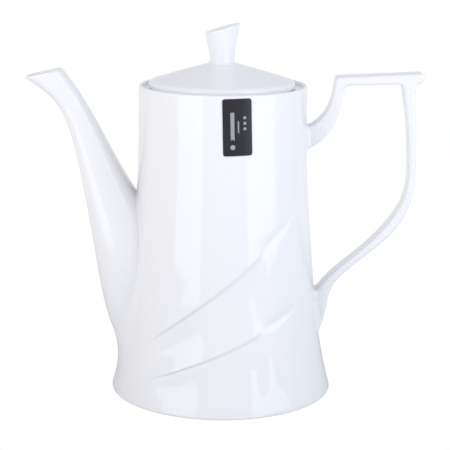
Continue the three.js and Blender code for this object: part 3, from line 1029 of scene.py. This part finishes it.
def knob_ring(radius, height, slant):
    """A level ring, or one that is sheared up towards the handle by the knob's slant."""
    ring = []
    for turn in np.linspace(0, math.tau, KNOB_POINTS, endpoint=False):
        x = radius * math.cos(turn)
        ring.append(Vector((x, radius * math.sin(turn), height + x * KNOB_SLANT * slant)))
    return ring


axis_height = knob_high.z / MM - KNOB_TOP * KNOB_SLANT
dome_slope = (LID_TOP - shoulder[1]) / (shoulder[0] - KNOB_BASE - 1)


def dome_height(radius):
    """The height of the lid's cone at a radius from its axis."""
    return LID_TOP - max(radius - KNOB_BASE - 1, 0) * dome_slope


spread = KNOB_BASE + KNOB_FILLET
fillet = [(spread, dome_height(spread) - 0.05)]
fillet += bend(fillet[0], (KNOB_BASE + 0.1, LID_TOP - 0.1), (KNOB_BASE, LID_TOP + KNOB_FILLET), 8)
rings = [knob_ring(spread - 0.6, dome_height(spread) - KNOB_SINK, 0)]
rings += [knob_ring(radius, height, 0) for radius, height in fillet]
stem = fillet[-1][1]
for t in np.linspace(0.04, 1, 16):
    flare = KNOB_BASE + (KNOB_TOP - KNOB_BASE) * (KNOB_STRAIGHTNESS * t + (1 - KNOB_STRAIGHTNESS) * t * t)
    rings.append(knob_ring(flare, stem + (axis_height - KNOB_EDGE - stem) * t, t))
for t in np.linspace(0, 1, 6)[1:]:
    angle = t * math.pi / 2
    radius = KNOB_TOP - KNOB_EDGE + KNOB_EDGE * math.cos(angle)
    rings.append(knob_ring(radius, axis_height - KNOB_EDGE + KNOB_EDGE * math.sin(angle), 1))
for share in (0.8, 0.5, 0.2):
    rings.append(knob_ring((KNOB_TOP - KNOB_EDGE) * share, axis_height + KNOB_CROWN * (1 - share**2), 1))
bm = bmesh.new()
loops = ring_skin(bm, [[place * MM for place in ring] for ring in rings])
bmesh.ops.contextual_create(bm, geom=ring_edges(bm, loops[0]))
bmesh.ops.contextual_create(bm, geom=ring_edges(bm, loops[-1]))
bmesh.ops.translate(bm, verts=bm.verts, vec=(LID_AXIS, 0, 0))
finish_piece(bm, "porcelain_knob", "lid", [PORCELAIN], ["lid_knob"])

# %% [markdown]
# ## The label
# A small black vinyl sticker is bent round the body just below the rim. It is drawn flat, cut out
# with rounded corners, sliced into narrow strips so that it can bend, and wrapped on.

# %% Label
VINYL_WAVE_MM = 6
INK_MOTTLE_MM = 0.4


def black_vinyl():
    """Glossy black vinyl film, with the faint waviness of a sticker that was pressed on by hand."""
    material = bpy.data.materials.new("black_vinyl")
    material.use_nodes = True
    tree = material.node_tree
    place = add_node(tree, "ShaderNodeTexCoord").outputs["Object"]
    press = add_node(
        tree, "ShaderNodeTexNoise", {"Scale": 1 / (VINYL_WAVE_MM * MM), "Detail": 2.0}, {"Vector": place}
    )
    tint = add_node(
        tree, "ShaderNodeMix", {"data_type": "RGBA", 6: linear("0A0A10"), 7: linear("16161F")},
        {0: press.outputs["Fac"]},
    )
    bump = add_node(
        tree, "ShaderNodeBump", {"Strength": 1.0, "Distance": 0.01 * MM}, {"Height": press.outputs["Fac"]}
    )
    surface = tree.nodes["Principled BSDF"]
    surface.inputs["Roughness"].default_value = 0.28
    tree.links.new(tint.outputs[2], surface.inputs["Base Color"])
    tree.links.new(bump.outputs["Normal"], surface.inputs["Normal"])
    return material


def pale_ink():
    """Grey screen-printing ink: opaque, a little uneven, with a satin surface."""
    material = bpy.data.materials.new("pale_ink")
    material.use_nodes = True
    tree = material.node_tree
    place = add_node(tree, "ShaderNodeTexCoord").outputs["Object"]
    mottle = add_node(
        tree, "ShaderNodeTexNoise", {"Scale": 1 / (INK_MOTTLE_MM * MM), "Detail": 2.0}, {"Vector": place}
    )
    tint = add_node(
        tree, "ShaderNodeMix", {"data_type": "RGBA", 6: linear("8A8A90"), 7: linear("A8A8AE")},
        {0: mottle.outputs["Fac"]},
    )
    surface = tree.nodes["Principled BSDF"]
    surface.inputs["Roughness"].default_value = 0.45
    tree.links.new(tint.outputs[2], surface.inputs["Base Color"])
    return material


LABEL_WIDTH = 15.4
LABEL_HEIGHT = 30
LABEL_CORNER = 1.3
LABEL_CENTRE = 155.5
LABEL_AZIMUTH = math.radians(9.5)
LABEL_TILT = math.radians(1.5)
LABEL_THICKNESS = 0.25
STRIP_WIDTH = 0.9


def wrap_on_body(bm, lift):
    """Bends a flat mesh, drawn in X and Z with its thickness in Y, round the body."""
    for vert in bm.verts:
        x, out, z = vert.co.x / MM, -vert.co.y / MM, vert.co.z / MM
        across = x * math.cos(LABEL_TILT) - z * math.sin(LABEL_TILT)
        height = LABEL_CENTRE + x * math.sin(LABEL_TILT) + z * math.cos(LABEL_TILT)
        angle = LABEL_AZIMUTH + across / body_radius(LABEL_CENTRE)
        radius = body_radius(height) + lift + out
        vert.co = Vector((radius * math.sin(angle), -radius * math.cos(angle), height)) * MM


def flat_plate(bm, width, height, corner, centre=(0, 0)):
    """A flat upright face with rounded corners, centred on a place in X and Z, all in millimetres."""
    right, top = width / 2, height / 2
    corners = ((-right, -top), (right, -top), (right, top), (-right, top))
    verts = [bm.verts.new(((x + centre[0]) * MM, 0, (z + centre[1]) * MM)) for x, z in corners]
    bm.faces.new(verts)
    bmesh.ops.bevel(
        bm, geom=verts, offset=corner * MM, offset_type="OFFSET", segments=5, profile=0.5,
        affect="VERTICES", material=-1,
    )


def sliced(bm, width, step):
    """Cuts a mesh into upright strips, so that it can be bent."""
    for x in np.arange(-width / 2 + step, width / 2, step):
        bmesh.ops.bisect_plane(
            bm, geom=bm.verts[:] + bm.edges[:] + bm.faces[:], plane_co=(x * MM, 0, 0), plane_no=(1, 0, 0),
            dist=1e-7,
        )


bm = bmesh.new()
flat_plate(bm, LABEL_WIDTH, LABEL_HEIGHT, LABEL_CORNER)
thickened(bm, -LABEL_THICKNESS)
sliced(bm, LABEL_WIDTH, STRIP_WIDTH)
wrap_on_body(bm, 0.02)
finish_piece(bm, "vinyl_label", "pot", [black_vinyl()], ["label"], 30)

# %% [markdown]
# The print on the label says nothing. It is a round dot, one long and one short bar, and a column of
# small squares: grey ink on the black film, laid out as such a label usually is.

# %% Print on the label
INK_THICKNESS = 0.05
INK_MARKS = [  # width, height, corner, and the middle's place across and up
    (2.6, 2.6, 1.25, (-2.6, -10.4)),
    (2.0, 15.5, 0.3, (-2.6, 0.2)),
    (0.7, 8.0, 0.15, (0.5, -0.6)),
    *[(1.5, 1.5, 0.3, (3.9, -6.6 + 2.9 * k)) for k in range(5)],
]
bm = bmesh.new()
for width, height, corner, centre in INK_MARKS:
    flat_plate(bm, width, height, corner, centre)
thickened(bm, -INK_THICKNESS)
sliced(bm, LABEL_WIDTH, STRIP_WIDTH)
wrap_on_body(bm, LABEL_THICKNESS + 0.03)
finish_piece(bm, "label_print", "pot", [pale_ink()], [], 30)
